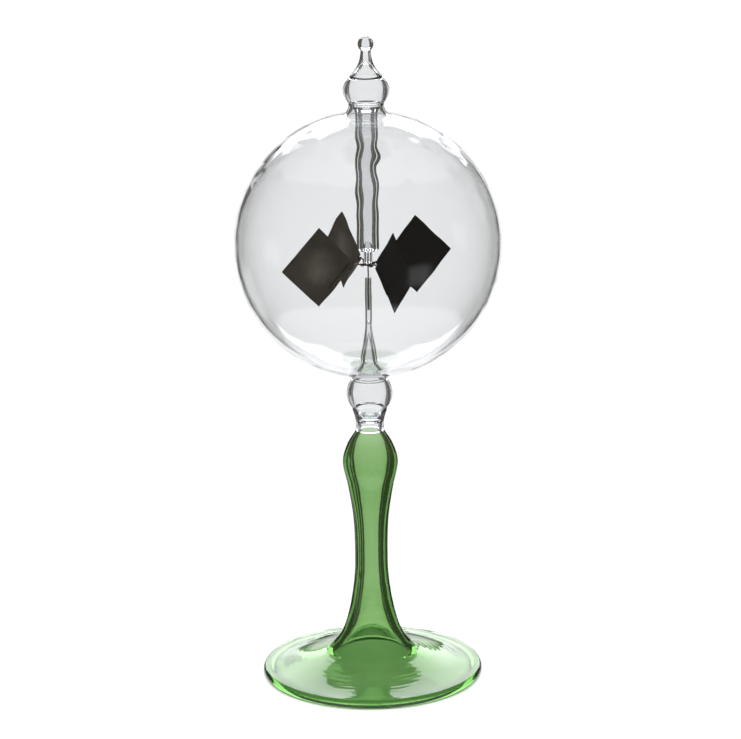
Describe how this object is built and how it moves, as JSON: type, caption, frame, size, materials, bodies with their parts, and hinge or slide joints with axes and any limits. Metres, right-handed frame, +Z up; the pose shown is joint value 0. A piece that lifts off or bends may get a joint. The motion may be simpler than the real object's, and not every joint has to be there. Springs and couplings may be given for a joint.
{
  "type": "light mill radiometer",
  "caption": "Light mill: a sealed clear glass bulb on a flared green glass foot, with square metal vanes on wire arms turning freely on an upright needle.",
  "frame": {"origin": "centre of the ring that the foot stands on, at floor level", "axes": "+Z up along the axis of the glass and of the mill; +X to the right and +Y away, seen from the front"},
  "size_m": [0.08, 0.08, 0.1985],
  "materials": {
    "clear_glass": "polished, clear, faint cool tint",
    "green_glass": "polished, transparent mid green",
    "needle_steel": "drawn steel",
    "arm_wire": "dark drawn wire",
    "vane_sheet": "thin sheet, matt black on the trailing side and dull brownish metal on the leading side"
  },
  "bodies": {
    "glass_body": {"foot": "green_glass", "green_stem": "green_glass", "stem_neck": "clear_glass", "lower_bead": "clear_glass", "globe": "clear_glass", "top_bead": "clear_glass", "finial": "clear_glass", "retaining_tube": "clear_glass", "needle_holder": "clear_glass", "needle": "needle_steel"},
    "mill": {"bearing_cap": "clear_glass", "spider_ring": "arm_wire", "arm_1": "arm_wire", "arm_2": "arm_wire", "arm_3": "arm_wire", "arm_4": "arm_wire", "vane_1": "vane_sheet", "vane_2": "vane_sheet", "vane_3": "vane_sheet", "vane_4": "vane_sheet"}
  },
  "joints": [
    {"name": "mill_spin", "type": "hinge", "parent": "glass_body", "child": "mill", "pos_m": [0, 0, 0.1346], "axis": [0, 0, 1], "continuous": true}
  ]
}
